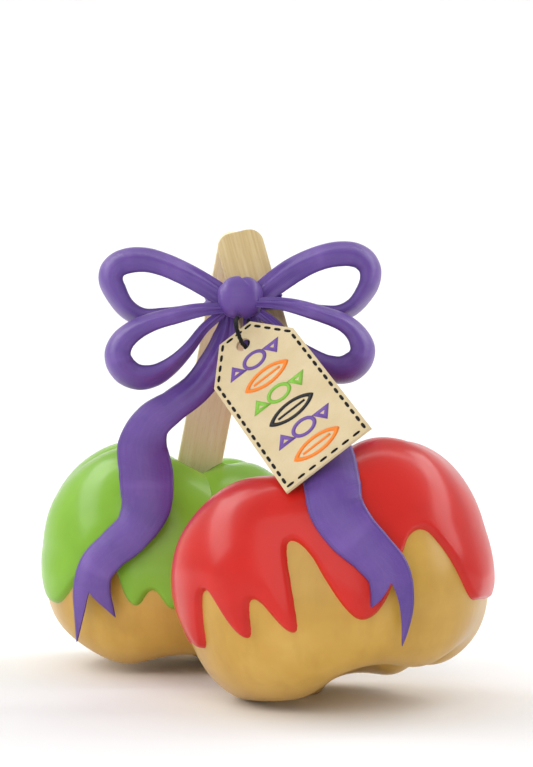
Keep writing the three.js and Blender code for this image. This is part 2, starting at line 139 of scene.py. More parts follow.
def ball(columns, rows):
    """A closed ball, rolled up from a grid, with its corners' polar angles from +Z and azimuths."""
    grown = bmesh.new()
    bmesh.ops.create_grid(grown, x_segments=columns, y_segments=rows, size=0.5)
    for corner in grown.verts:
        azimuth, polar = 2 * math.pi * corner.co.x, math.pi * (corner.co.y + 0.5)
        spread = math.sin(polar)
        corner.co = (spread * math.cos(azimuth), spread * math.sin(azimuth), math.cos(polar))
    bmesh.ops.remove_doubles(grown, verts=grown.verts, dist=1e-5)
    x, y, z = corner_places(grown).T
    return grown, np.arccos(z.clip(-1, 1)), np.arctan2(y, x)


def shown(name, grown, finish):
    """A smooth object in the scene, with one material."""
    mesh = bpy.data.meshes.new(name)
    grown.to_mesh(mesh)
    grown.free()
    mesh.polygons.foreach_set("use_smooth", np.ones(len(mesh.polygons), bool))
    mesh.materials.append(finish.material)
    shape = bpy.data.objects.new(name, mesh)
    bpy.context.collection.objects.link(shape)
    return shape


def made(name, grown, finish, places, node=None):
    """A finished piece that rides with the pair. `places` are its corners' places, in millimetres."""
    put(grown, places * MM)
    piece = shown(name, grown, finish)
    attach(piece, "root")
    if node:
        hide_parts(node)
    return piece


def outward(grown, places):
    """Points the faces of a closed shape outwards, once its corners are in their places."""
    put(grown, places)
    bmesh.ops.recalc_face_normals(grown, faces=grown.faces)
    return grown


def pinned(piece, name, values):
    """Keeps a pattern's coordinates on the piece's corners, in millimetres."""
    layer = piece.data.attributes.new(name, "FLOAT_VECTOR", "POINT")
    layer.data.foreach_set("vector", values.astype(np.float32).ravel())


def paint(code):
    """A colour written as six hexadecimal digits, for a shader."""
    shares = [int(code[i:i + 2], 16) / 255 for i in (0, 2, 4)]
    return (*[s / 12.92 if s <= 0.04045 else ((s + 0.055) / 1.055) ** 2.4 for s in shares], 1)


class Value:
    """A socket of a finish. Arithmetic on it adds the Math nodes."""

    def __init__(self, finish, socket):
        self.finish = finish
        self.socket = socket

    def _maths(self, operation, *terms):
        return self.finish.node("ShaderNodeMath", {"operation": operation}, dict(enumerate(terms)))

    def __add__(self, other):
        return self._maths("ADD", self, other)

    def __sub__(self, other):
        return self._maths("SUBTRACT", self, other)

    def __mul__(self, other):
        return self._maths("MULTIPLY", self, other)

    __radd__ = __add__
    __rmul__ = __mul__


class Finish:
    """A material with one Principled shader, whose nodes all come from `node`."""

    def __init__(self, name):
        self.material = bpy.data.materials.new(name)
        self.material.use_nodes = True
        self.tree = self.material.node_tree
        self.tree.nodes.clear()

    def node(self, kind, settings=None, sockets=None, output=0):
        new = self.tree.nodes.new(kind)
        for name, setting in (settings or {}).items():
            if name == "stops":
                while len(new.color_ramp.elements) < len(setting):
                    new.color_ramp.elements.new(0.5)
                for stop, (position, colour) in zip(new.color_ramp.elements, setting):
                    stop.position = position
                    stop.color = colour
            else:
                setattr(new, name, setting)
        for name, value in (sockets or {}).items():
            if isinstance(value, Value):
                self.tree.links.new(value.socket, new.inputs[name])
            else:
                new.inputs[name].default_value = value
        return Value(self, new.outputs[output]) if new.outputs else None

    def place(self):
        """Where a point is on the pair, in metres."""
        return self.node("ShaderNodeTexCoord", output="Object")

    def pin(self, name):
        """Coordinates that were kept on the piece, in millimetres."""
        return self.node("ShaderNodeAttribute", {"attribute_name": name}, output="Vector")

    def stretched(self, vector, scale, shift=(0, 0, 0)):
        return self.node("ShaderNodeMapping", {}, {"Vector": vector, "Scale": scale, "Location": shift})

    def noise(self, vector, scale, detail=3, rough=0.5):
        sockets = {"Vector": vector, "Scale": scale, "Detail": detail, "Roughness": rough}
        return self.node("ShaderNodeTexNoise", {}, sockets)

    def ramp(self, share, *stops):
        return self.node("ShaderNodeValToRGB", {"stops": stops}, {"Fac": share})

    def between(self, share, low, high):
        """0 where share is low, 1 where it is high, and even in between."""
        return self.node("ShaderNodeMapRange", {}, {"Value": share, "From Min": low, "From Max": high})

    def mix(self, share, first, second, blend="MIX"):
        settings = {"data_type": "RGBA", "blend_type": blend}
        return self.node("ShaderNodeMix", settings, {0: share, 6: first, 7: second}, output=2)

    def bump(self, height, distance, strength=1.0):
        return self.node("ShaderNodeBump", {}, {"Height": height, "Distance": distance, "Strength": strength})

    def surface(self, **sockets):
        named = {name.replace("_", " "): value for name, value in sockets.items()}
        shader = self.node("ShaderNodeBsdfPrincipled", {}, named)
        self.node("ShaderNodeOutputMaterial", {}, {"Surface": shader})


# Black cotton is dull, with a grey bloom on the fibres that stand up from the plies.
cotton = Finish("black cotton")
fibres = cotton.noise(cotton.stretched(cotton.pin("yarn"), (6, 6, 1.5)), 1.6, detail=4)
cotton.surface(
    Base_Color=cotton.mix(cotton.between(fibres, 0.35, 0.75), paint("060507"), paint("1d1b1f")),
    Roughness=0.86, Specular_IOR_Level=0.25, Sheen_Weight=0.04, Normal=cotton.bump(fibres, 0.00012),
)

string_route = Route(STRING_ROUTE)
grown, polar, azimuth = ball(STRING["columns"], STRING["rows"])
share = polar / math.pi
walked = share * string_route.length
turned = azimuth - 2 * math.pi * walked / STRING["lay"]
half = STRING["width"] / 2
to_end = np.minimum(walked, string_route.length - walked).clip(0, half)
closing = np.sqrt(1 - (1 - to_end / half) ** 2)
reach = half * closing * (1 - STRING["groove"] * (0.5 - 0.5 * np.cos(STRING["plies"] * turned)))
side = string_route.side(share)
over = np.cross(string_route.heading(share), side)
places = string_route.at(share) + reach[:, None] * (
    np.cos(azimuth)[:, None] * side + np.sin(azimuth)[:, None] * over
)
string = made("black_string", outward(grown, places), cotton, places, "tag_string")
pinned(string, "yarn", np.stack([half * np.cos(turned), half * np.sin(turned), walked], axis=-1))
[tuple(place) for place in string_route.at(np.linspace(0, 1, STRING["path_points"])) * MM]


# ---------------------------------------------------------------- caramel
# Two whole apples, dipped in soft cream caramel that set in a layer over all of them. It follows
# the apples' lobes and settled in a small foot where each stood on the tray.
RED_APPLE = {
    "name": "red",
    "centre": (20.3, -31.2, 33.5),
    "lean": (-10, -14.6),
    "half_width": 41,
    "half_depth": 38,
    "top_rise": 32.4,
    "bottom_drop": 34.4,
    "out_power": 0.7,
    "up_power": 0.88,
    "taper": -0.045,
    "heel": 0.0,
    "shoulder": -0.088,
    "lobes": (-135, -45, 15, 62, 128),
    "top": {"dimple": 16, "dimple_width": 17.4, "valley": 3.2, "rim": 21, "sharp": 0},
    "bottom": {"dimple": 14.7, "dimple_width": 15.4, "valley": 4.3, "rim": 15.4, "sharp": 0},
}
GREEN_APPLE = {
    "name": "green",
    "centre": (-22.6, 34.4, 31.8),
    "lean": (0, 4.3),
    "half_width": 38.9,
    "half_depth": 36.2,
    "top_rise": 35.8,
    "bottom_drop": 40.7,
    "out_power": 1.13,
    "up_power": 0.805,
    "taper": -0.119,
    "heel": -0.024,
    "shoulder": 0.112,
    "lobes": (-125, -20, 45, 140),
    "top": {"dimple": 24.7, "dimple_width": 12.2, "valley": 4.2, "rim": 22.2, "sharp": 1},
    "bottom": {"dimple": 13.4, "dimple_width": 20.3, "valley": 4.7, "rim": 18.5, "sharp": 0},
}
FLANK_GROOVE = 0.03  # how far the valleys cut into the flanks, as a share of the width
RIM_FADE = 3  # the dimples fade out towards the waist at this rate
# The waves in the dipped caramel: height, waves round the apple, waves down it and where they start.
RIPPLES = ((0.2, 3, 2.3, 0), (0.13, 5, -3.1, 1), (0.08, 9, 5, 2))
CARAMEL = {"columns": 224, "rows": 128}
FOOT = {"height": 2.4, "spread": 0.6, "inner": 6}


def valley_depth(lobes, azimuth, sharp):
    """0 on the ridge of a lobe and 1 in the valley between two, with a crease there if sharp is 1."""
    spread = np.array([lobe - lobes[0] for lobe in lobes] + [360])
    turn = (np.degrees(azimuth) - lobes[0]) % 360
    after = np.searchsorted(spread, turn, side="right").clip(1, len(lobes))
    share = (turn - spread[after - 1]) / (spread[after] - spread[after - 1])
    swell = 0.5 + 0.5 * np.cos(2 * math.pi * share)
    return (1 - sharp) * (1 - swell) + sharp * (1 - np.sqrt(swell))


def skin_point(apple, polar, azimuth):
    up = np.cos(polar)
    spread = np.sin(polar).clip(0) ** apple["out_power"]
    flank = FLANK_GROOVE * valley_depth(apple["lobes"], azimuth, 0)
    reach = spread * (1 - flank * spread) * (1 - apple["taper"] * (-up).clip(0))
    x = apple["half_width"] * reach * np.cos(azimuth)
    y = apple["half_depth"] * reach * np.sin(azimuth)
    radius = np.hypot(x, y)
    z = np.zeros_like(x)
    for end, sign, height, lift in (
        ("top", 1, apple["top_rise"], apple["shoulder"]),
        ("bottom", -1, apple["bottom_drop"], apple["heel"]),
    ):
        shape = apple[end]
        rim = (radius / shape["rim"]) ** 2
        dimple = shape["dimple"] * np.exp(-((radius / shape["dimple_width"]) ** 2))
        crease = valley_depth(apple["lobes"], azimuth, shape["sharp"])
        valley = shape["valley"] * crease * rim * np.exp(1 - rim)
        sunk = (dimple + valley) * (abs(up) * RIM_FADE).clip(0, 1)
        raised = height * abs(up) ** apple["up_power"] * (1 - lift * x / apple["half_width"]) - sunk
        z = np.where(sign * up > 0, sign * raised, z)
    return np.stack([x, y, z], axis=-1)


def ripple(polar, azimuth):
    """How unevenly the dipped caramel lies."""
    waves = sum(
        height * np.sin(round_ * azimuth + down * polar + start) for height, round_, down, start in RIPPLES
    )
    return np.sin(polar) ** 2 * waves


def on_apple(apple, polar, azimuth, out):
    """Places `out` from the apple's skin, on the pair."""
    step = 1e-3
    clear = polar.clip(2 * step, math.pi - 2 * step)
    down = skin_point(apple, clear + step, azimuth) - skin_point(apple, clear - step, azimuth)
    round_ = skin_point(apple, clear, azimuth + step) - skin_point(apple, clear, azimuth - step)
    normal = np.cross(down, round_)
    normal /= lengths(normal)
    place = skin_point(apple, polar, azimuth) + (out + ripple(polar, azimuth))[:, None] * normal
    back, left = apple["lean"]
    lean = Matrix.Rotation(math.radians(back), 3, "X") @ Matrix.Rotation(math.radians(left), 3, "Y")
    return place @ np.array(lean).T + apple["centre"]


def settled(places):
    """Flattens what would be under the ground, and spreads the caramel round it into a foot."""
    under = places[places[:, 2] < 0]
    out = places[:, :2] - under[:, :2].mean(axis=0)
    far = lengths(out)
    low = (1 - places[:, 2:] / FOOT["height"]).clip(0, 1) ** 2
    places[:, :2] += FOOT["spread"] * low * out / far * (far / FOOT["inner"]).clip(0, 1)
    places[:, 2] = places[:, 2].clip(0)
    return places


# Cream caramel is glossy and slightly translucent, with faint cloudy streaks and pinhole bubbles.
caramel = Finish("cream caramel")
where = caramel.place()
clouds = caramel.noise(where, 55, detail=4)
streaks = caramel.noise(caramel.stretched(where, (1, 1, 0.35)), 230, detail=3)
pits = caramel.node("ShaderNodeTexVoronoi", {}, {"Vector": where, "Scale": 420}, output="Distance")
pinholes = caramel.between(pits, 0.1, 0.02) * caramel.between(caramel.noise(where, 160), 0.56, 0.64)
tone = caramel.ramp(clouds, (0.3, paint("bb9038")), (0.55, paint("c89d42")), (0.78, paint("d2a952")))
caramel.surface(
    Base_Color=caramel.mix(caramel.between(streaks, 0.5, 0.85) * 0.35, tone, paint("ab7f30")),
    Roughness=0.34 + 0.16 * clouds, Specular_IOR_Level=0.3, Coat_Weight=0.4, Coat_Roughness=0.24,
    Subsurface_Weight=0.1, Subsurface_Radius=(1, 0.6, 0.3), Subsurface_Scale=0.003,
    Normal=caramel.bump(0.5 * streaks - 0.8 * pinholes, 0.00012),
)
for apple in (RED_APPLE, GREEN_APPLE):
    grown, polar, azimuth = ball(CARAMEL["columns"], CARAMEL["rows"])
    places = settled(on_apple(apple, polar, azimuth, np.zeros_like(polar)))
    name = apple["name"]
    made(f"{name}_caramel", outward(grown, places), caramel, places, f"{name}_apple_caramel")


# ---------------------------------------------------------------- sticks
# Flat birch sticks with rounded ends, stamped from sheet veneer and sanded. One is pushed into each
# apple, and both lean together under the bow.
STICK = {
    "width": 12.8, "thickness": 2.8, "length": 104, "corner": 4, "corner_steps": 10, "soft": 0.45,
    "soft_steps": 3, "grain_shift": 40,
}
STICK_TOP = 124.4
STICK_SPLAY = 0.34  # how far a stick leans in depth for each millimetre of height
STICKS = {
    "red": {"top": (-4.5, -0.4, STICK_TOP), "slope": 0.275, "side": -1},
    "green": {"top": (-2.9, 3.0, STICK_TOP), "slope": -0.2, "side": 1},
}


def stick_frame(stick):
    """The stick's own directions: across, along towards its top, and out of its face."""
    along = Vector((-stick["slope"], -stick["side"] * STICK_SPLAY, 1)).normalized()
    across = (Vector((1, 0, 0)) - along * along.x).normalized()
    return Matrix((across, along, across.cross(along))).transposed()


def birch_finish(name, dark, middle, pale):
    """Birch: pale, with fine darker lines along the grain and short flecks between them."""
    birch = Finish(name)
    grain = birch.pin("grain")
    rings = birch.noise(birch.stretched(grain, (1.1, 0.035, 0.5)), 1, detail=5, rough=0.62)
    flecks = birch.noise(birch.stretched(grain, (5, 0.35, 2)), 1, detail=2)
    stain = birch.noise(birch.stretched(grain, (0.09, 0.05, 0.1)), 1, detail=2)
    wood = birch.ramp(rings, (0.3, dark), (0.5, middle), (0.72, pale))
    fleck = birch.between(flecks, 0.6, 0.75) * 0.3
    shade = birch.between(stain, 0.42, 0.7) * 0.35
    birch.surface(
        Base_Color=birch.mix(shade, birch.mix(fleck, wood, paint("b39766")), dark),
        Roughness=0.52 + 0.16 * rings, Normal=birch.bump(rings + 0.4 * flecks, 0.00009),
    )
    return birch


# The green apple's stick gets paler colours than the red one's. This is painted light that makes up for the
# shade it stands in behind the bow and tag.
BIRCH = {
    "red": birch_finish("birch", paint("c5a976"), paint("d5bc88"), paint("e0cc9d")),
    "green": birch_finish("birch lightened against shade", paint("ecd8a8"), paint("f6e7c0"), paint("fdf3d6")),
}
for name, stick in STICKS.items():
    grown = bmesh.new()
    size = Vector((STICK["width"], STICK["length"], STICK["thickness"]))
    bmesh.ops.create_cube(grown, size=1, matrix=Matrix.Diagonal((*size, 1)))
    bmesh.ops.translate(grown, verts=grown.verts, vec=(0, -STICK["length"] / 2, 0))
    bevel = {"affect": "EDGES", "profile": 0.5, "material": -1, "clamp_overlap": True}
    through = [edge for edge in grown.edges if edge.verts[0].co.z != edge.verts[1].co.z]
    bmesh.ops.bevel(grown, geom=through, offset=STICK["corner"], segments=STICK["corner_steps"], **bevel)
    right_angled = [edge for edge in grown.edges if edge.calc_face_angle(0) > 1]
    bmesh.ops.bevel(grown, geom=right_angled, offset=STICK["soft"], segments=STICK["soft_steps"], **bevel)
    bmesh.ops.recalc_face_normals(grown, faces=grown.faces)
    blank = corner_places(grown)
    places = blank @ np.array(stick_frame(stick)).T + stick["top"]
    piece = made(f"{name}_stick", grown, BIRCH[name], places, f"{name}_apple_stick")
    pinned(piece, "grain", blank + (STICK["grain_shift"] * stick["side"], 0, 0))


# ---------------------------------------------------------------- candy coats
# Hot coloured sugar, poured over each apple round its stick. It ran down in drips of uneven length
# and set hard and glassy, thickest in the drips' ends and in a ring where it crept up the stick.
CANDY = {
    "thick": 1.45, "dome": 0.4, "dome_width": 3.0, "bead": 0.55, "edge": 1.35, "inside": -0.9, "hem": -0.6,
    "edge_height": 0.7, "columns": 480, "rows": 150,
}
BEAD = {"from": 88, "over": 22}  # where the coat thickens towards its drips, in degrees
CREEP = {"height": 1.5, "width": 1.3, "fall": 1.3}
RIM = {"step": 0.75, "reach": 7, "window": 15, "below": 4}  # in degrees, but the window is in steps
# The shares of the rows, and how far down to the rim they are: the last rows run back underneath.
ROWS = {"share": (0, 0.3, 0.86, 1), "down": (0, 0.62, 1, 0)}
DRIPS = {  # gaps and drip tips by turns round the apple: azimuth, and polar angle from the stick
    "red": (
        (-177, 92), (-155, 107.4), (-142.3, 87.4), (-128.6, 109.4), (-122.9, 94.4), (-110.6, 113),
        (-104.3, 77.3), (-85.3, 115.4), (-57.4, 87), (-33, 117.6), (-12, 118), (6, 93), (17, 106), (25, 99),
        (37, 122), (58, 84), (70, 102), (77, 95), (92, 118), (118, 88), (141, 113), (150, 99), (166, 104),
    ),
    "green": (
        (-178, 96), (-151.8, 107.9), (-117.8, 89), (-103.7, 103.3), (-97.5, 96.3), (-88.1, 103.8),
        (-70, 90), (-50, 110), (-36, 88), (-24, 101), (-15, 95), (3, 114), (30, 87), (47, 112), (56, 98),
        (70, 106), (92, 89), (114, 118), (128, 100), (140, 108), (156, 90), (168, 101),
    ),
}
EASE = 1.7  # how gently the edge leaves a turning point: 1 is a zigzag
TURN_STEP = 0.05  # round the apple, in degrees
EDGE_STEP = 0.1  # along the edge, in millimetres
ROUNDED = 5.5  # the edge is evened over this length, which rounds the drips' tips


def rounded_off(values, before, after, window):
    """A closed line's values, averaged over a window. `before` and `after` are the turns beside it."""
    share = np.hanning(window)
    three_turns = np.concatenate([before, values, after])
    return np.convolve(three_turns, share / share.sum(), "same")[len(values):2 * len(values)]


def edge_line(apple, drips):
    """The candy's edge, once round the apple: azimuths and polar angles in degrees, and places."""
    stops = np.array(drips, float)
    angle, height = np.vstack([stops - (360, 0), stops, stops + (360, 0)]).T
    turn = np.arange(-180, 180, TURN_STEP)
    after = np.searchsorted(angle, turn, side="right")
    share = (turn - angle[after - 1]) / (angle[after] - angle[after - 1])
    eased = share**EASE / (share**EASE + (1 - share) ** EASE)
    polar = height[after - 1] + (height[after] - height[after - 1]) * eased
    rough = on_apple(apple, np.radians(polar), np.radians(turn), 0 * turn)
    walked = np.concatenate([[0], np.cumsum(lengths(np.diff(rough, axis=0)))])
    even = np.arange(0, walked[-1], EDGE_STEP)
    turn, polar = np.interp(even, walked, turn), np.interp(even, walked, polar)
    window = round(ROUNDED / EDGE_STEP)
    turn = rounded_off(turn, turn - 360, turn + 360, window)
    polar = rounded_off(polar, polar, polar, window)
    out = np.full(len(turn), CANDY["edge_height"])
    return turn, polar, on_apple(apple, np.radians(polar), np.radians(turn), out)


def edge_distance(apple, line, polar, azimuth):
    """How far inside the candy's edge each point is, in millimetres. Outside it is negative."""
    tree = kdtree.KDTree(len(line[2]))
    for i, point in enumerate(line[2]):
        tree.insert(point, i)
    tree.balance()
    points = on_apple(apple, polar, azimuth, np.full(len(polar), CANDY["edge_height"]))
    far = np.array([tree.find(point)[2] for point in points])
    edge = np.interp(np.degrees(azimuth), line[0], line[1], period=360)
    return np.where(np.degrees(polar) < edge, far, -far)


def coat_rim(line, turns):
    """A smooth line just below the edge, where the coat turns back under itself."""
    near = range(-RIM["reach"], RIM["reach"] + 1)
    lowest = np.max([np.interp(turns + turn, line[0], line[1], period=360) for turn in near], axis=0)
    return rounded_off(lowest, lowest, lowest, RIM["window"]) + RIM["below"]


def crept(places, stick):
    """Draws the candy up round the stick."""
    frame_of_stick = np.array(stick_frame(stick))
    local = (places - stick["top"]) @ frame_of_stick
    past = abs(local[:, [0, 2]]) - (STICK["width"] / 2, STICK["thickness"] / 2)
    near = lengths(past.clip(0))
    rise = CREEP["height"] * np.exp(-((near / CREEP["width"]) ** CREEP["fall"]))
    return places + rise * frame_of_stick[:, 1]


def candy_finish(name, deep, middle, pale):
    """Hard candy: clear and glossy, a little paler where it is thin, with a few trapped bubbles."""
    candy = Finish(name)
    where = candy.place()
    clouds = candy.noise(where, 40, detail=3)
    wave = candy.noise(where, 95, detail=1)
    thin = candy.node("ShaderNodeSeparateXYZ", {}, {0: candy.pin("coat")}, output="X")
    bubbles = candy.node("ShaderNodeTexVoronoi", {}, {"Vector": where, "Scale": 520}, output="Distance")
    tone = candy.ramp(clouds, (0.32, deep), (0.56, middle))
    candy.surface(
        Base_Color=candy.mix(candy.between(thin, 0.9, 0.1) * 0.3, tone, pale),
        Roughness=0.4 + 0.1 * clouds, Specular_IOR_Level=0.12,
        Coat_Weight=0.6, Coat_Roughness=0.2, Coat_IOR=1.4,
        Normal=candy.bump(wave + 0.02 * candy.between(bubbles, 0.12, 0.03), 0.0005, 0.35),
    )
    return candy


COATS = {
    "red": candy_finish("red candy", paint("bd1c15"), paint("cf241c"), paint("d23f20")),
    "green": candy_finish("green candy", paint("74a42a"), paint("82b434"), paint("9bb63e")),
}
for apple in (RED_APPLE, GREEN_APPLE):
    name = apple["name"]
    line = edge_line(apple, DRIPS[name])
    grown, polar, azimuth = ball(CANDY["columns"], CANDY["rows"])
    row = polar / math.pi
    turns = np.arange(-180, 180, RIM["step"])
    rim = np.interp(np.degrees(azimuth), turns, coat_rim(line, turns), period=360)
    underneath = row > ROWS["share"][2]
    polar = np.radians(rim * np.interp(row, ROWS["share"], ROWS["down"]))
    inside = edge_distance(apple, line, polar, azimuth)
    edge = 1 - (1 - (inside / CANDY["edge"]).clip(None, 1)) ** 2
    slope = 2 * CANDY["thick"] / CANDY["edge"]
    low = ((np.degrees(polar) - BEAD["from"]) / BEAD["over"]).clip(0, 1)
    dome = (CANDY["dome"] + CANDY["bead"] * low) * (1 - np.exp(-((inside / CANDY["dome_width"]) ** 2)))
    height = np.where(inside > 0, CANDY["thick"] * edge + dome, (slope * inside).clip(CANDY["hem"], None))
    height = np.where(underneath, CANDY["inside"], height)
    places = on_apple(apple, polar, azimuth, height)
    places = np.where(underneath[:, None], places, crept(places, STICKS[name]))
    piece = made(
        f"{name}_candy", outward(grown, places), COATS[name], places, f"{name}_apple_candy"
    )
    pinned(piece, "coat", np.stack([height / CANDY["thick"], inside, row], axis=-1))


# ---------------------------------------------------------------- bow loops
# The bow is tied from purple satin ribbon, 15 mm wide. Its four loops stand out from the knot with
# their satin face outside, gathered into pleats where the knot grips them.
RIBBON = {"width": 15, "thickness": 0.45}
KNOT = np.array((-3.4, -15.8, 105.9))
LOOP = {
    "edge_on": 12, "flatter": 0.45, "depth_at_knot": 2.6, "curl_in": 25, "curl": 115, "steps": (150, 22),
}
EVENED = (-0.08, -0.04, 0, 0.04, 0.08)  # the shares of its length over which a loop is averaged
PLEAT = {"depth": 0.42, "count": 2.5, "reach": 0.42, "fade": 1.5}
# The outer edge, [x, z] from the knot's middle, the front edge's y, and how wide the band looks.
LOOPS = {
    "upper_left": {
        "front": (0.6, 2.6, 3.4, 4.8, 4.4), "band": (6, 6.8, 6.4, 7.2, 7.8, 7.7, 6.5, 5.4, 4.4, 3.4, 2.6),
        "points": (
            (-1.2, 2), (-8.2, 6.6), (-14, 9.9), (-19.6, 12.5), (-25.4, 14.2), (-31, 14.2), (-35.8, 12.4),
            (-38.7, 9), (-39.2, 4.6), (-37, -0.2), (-32.8, -5.2), (-27.4, -7.6), (-20, -6.7), (-12, -4.9),
            (-4, -3.4),
        ),
    },
    "lower_left": {
        "front": (-2.5, -6.4, -8.4, -5.6, -2.3), "band": (2, 4.6, 5.1, 5.6, 7.4, 8, 7.8, 5.9, 3.7, 2.8, 2.6),
        "points": (
            (-2.4, -1.5), (-11, -1.4), (-18.9, -2.6), (-25.5, -4.3), (-30.6, -6.6), (-34.6, -10),
            (-36.6, -14.4), (-36, -19), (-33, -23), (-27.6, -25), (-22.2, -23.9), (-17.2, -20.3),
            (-12.4, -14.8), (-8.6, -9.4), (-3.4, -4.8),
        ),
    },
    "upper_right": {
        "front": (0.6, 2.4, 3.2, 2.2, 0.6), "band": (2.6, 3.2, 4, 4.7, 5.3, 6.9, 7.6, 7.3, 7.1, 8, 6),
        "points": (
            (4, -2.9), (11, -3.4), (17, -4.8), (22.5, -6), (27.4, -6.2), (31.8, -4.4), (35.4, -0.8),
            (38, 3.5), (38.6, 8.4), (36.4, 12.9), (32, 15.5), (26.2, 15.9), (20, 14.5), (13.5, 11.6),
            (8.2, 8), (0.8, 1.6),
        ),
    },
    "lower_right": {
        "front": (-3.6, -8.6, -10, -8.4, -4.4), "band": (2.6, 3.4, 5, 7, 8, 7.8, 6.4, 4.8, 5.1, 4, 2.4),
        "points": (
            (4, -5.2), (7.6, -8.2), (11.2, -12.9), (16, -17.8), (21, -21.6), (26.4, -23.4), (31.6, -22.2),
            (35.2, -18.5), (36.2, -13.6), (34.1, -8.9), (29.6, -4.9), (22.4, -2.2), (14.4, -0.3), (9, 0.1),
            (4, 0),
        ),
    },
}


def strip(steps):
    """A flat strip's mesh, and how far along and across it each corner is, from 0 to 1."""
    grown = bmesh.new()
    bmesh.ops.create_grid(grown, x_segments=steps[0], y_segments=steps[1], size=0.5)
    x, y, _ = corner_places(grown).T
    return grown, x + 0.5, y + 0.5


def listed(values, share):
    """A value that goes evenly from each entry of a list to the next."""
    return np.interp(share, np.linspace(0, 1, len(values)), values)


def evened(reading, share):
    """A reading along a loop, with its corners rounded off."""
    return sum(reading((share + near).clip(0, 1)) for near in EVENED) / len(EVENED)


def loop_band(loop, route, share):
    """How wide the loop looks at each share, and which way its outside faces."""
    heading = evened(route.heading, share)
    outside = np.stack([heading[:, 2], 0 * share, -heading[:, 0]], axis=-1)
    return evened(lambda near: listed(loop["band"], near), share), outside / lengths(outside)


def facing(grown, places, towards):
    """Turns an open strip so that its face looks the way that `towards` gives for each place."""
    put(grown, places)
    grown.normal_update()
    seen = sum(face.normal.dot(Vector(towards(face.calc_center_median()))) for face in grown.faces)
    if seen < 0:
        bmesh.ops.reverse_faces(grown, faces=grown.faces)
    return grown


def thickened(piece, thickness, offset):
    """Gives a flat piece its thickness: in front of its face at 1, behind it at -1."""
    wall = piece.modifiers.new("thickness", "SOLIDIFY")
    wall.thickness = thickness * MM
    wall.offset = offset
    return wall


def ribbon(name, grown, places, node):
    """A length of ribbon, whose thickness is on the dull side."""
    piece = made(name, grown, satin, places, node)
    thickened(piece, RIBBON["thickness"], -1).use_even_offset = False
    return piece


# Satin shines across its fine weft ribs and has a closer woven edge on both sides.
satin = Finish("purple satin")
weave = satin.pin("cloth")
across = satin.node("ShaderNodeSeparateXYZ", {}, {0: weave}, output="Y")
ribs = satin.node(
    "ShaderNodeTexWave", {"wave_type": "BANDS", "bands_direction": "X", "wave_profile": "SIN"},
    {"Vector": satin.stretched(weave, (0.9, 0.05, 0)), "Scale": 1, "Distortion": 0.6, "Detail": 1},
)
threads = satin.noise(satin.stretched(weave, (0.25, 9, 0)), 1, detail=2)
# The ribbon's creases are only in its colour: the tone below darkens and lightens along them as painted shade
# and light.
crease_shading = satin.noise(satin.stretched(weave, (0.1, 0.16, 0)), 1, detail=3)
selvedge = satin.node("ShaderNodeMath", {"operation": "GREATER_THAN"}, {0: across, 1: 0.86})
tone = satin.ramp(crease_shading, (0.3, paint("573b8b")), (0.55, paint("644497")), (0.75, paint("7453a6")))
# The paler streaks along the threads are a painted sheen.
sheen = satin.mix(satin.between(threads, 0.45, 0.8) * 0.14, tone, paint("8568b2"))
satin.surface(
    Base_Color=satin.mix(selvedge * 0.4, sheen, paint("4f357c")),
    Roughness=0.31 + 0.16 * threads, Sheen_Weight=0.14, Sheen_Roughness=0.4, Sheen_Tint=paint("b39bd6"),
    Specular_IOR_Level=0.5, Normal=satin.bump(0.5 * ribs + 0.35 * threads + 0.9 * selvedge, 0.00006),
)


def cloth_pin(piece, along, across, length):
    """Weave coordinates: millimetres along, then 0 in the ribbon's middle and 1 at its edges."""
    weave_at = np.stack([along * length, abs(2 * across - 1), across * RIBBON["width"]], axis=-1)
    pinned(piece, "cloth", weave_at)


for name, loop in LOOPS.items():
    route = Route([(x, 0, z) for x, z in loop["points"]])
    grown, along, across = strip(LOOP["steps"])
    band, outside = loop_band(loop, route, along)
    to_knot = np.minimum(along, 1 - along)
    near = (4 * to_knot).clip(0, 1)
    swell = near * near * (3 - 2 * near)
    full = LOOP["edge_on"] - LOOP["flatter"] * band
    depth = LOOP["depth_at_knot"] + swell**2 * (full - LOOP["depth_at_knot"])
    curl_in = math.radians(LOOP["curl_in"])
    angle = across * math.radians(LOOP["curl"]) - curl_in
    reach = band / (1 + math.sin(curl_in))
    out = reach * (np.sin(angle) + math.sin(curl_in)) - band
    back = listed(loop["front"], along) + depth * (1 - np.cos(angle))
    face_out = depth * np.sin(angle)
    face_back = -reach * np.cos(angle)
    size = np.hypot(face_out, face_back)
    gather = (1 - (to_knot / PLEAT["reach"]).clip(0, 1)) ** PLEAT["fade"]
    fold = PLEAT["depth"] * gather * (np.cos(2 * math.pi * PLEAT["count"] * across) - 1)
    out = out + fold * face_out / size
    back = back + fold * face_back / size
    places = KNOT + route.at(along) + out[:, None] * outside + np.stack([0 * back, back, 0 * back], axis=-1)
    middle = places.mean(axis=0)
    grown = facing(grown, places, lambda place: np.array(place) - middle)
    piece = ribbon(f"loop_{name}", grown, places, f"bow_loop_{name}")
    walk = np.linspace(0, 1, LOOP["steps"][0])
    band, outside = loop_band(loop, route, walk)
    centre_line = route.at(walk) - band[:, None] / 2 * outside
    length = lengths(np.diff(centre_line, axis=0)).sum()
    cloth_pin(piece, along, across, length)
    length * MM


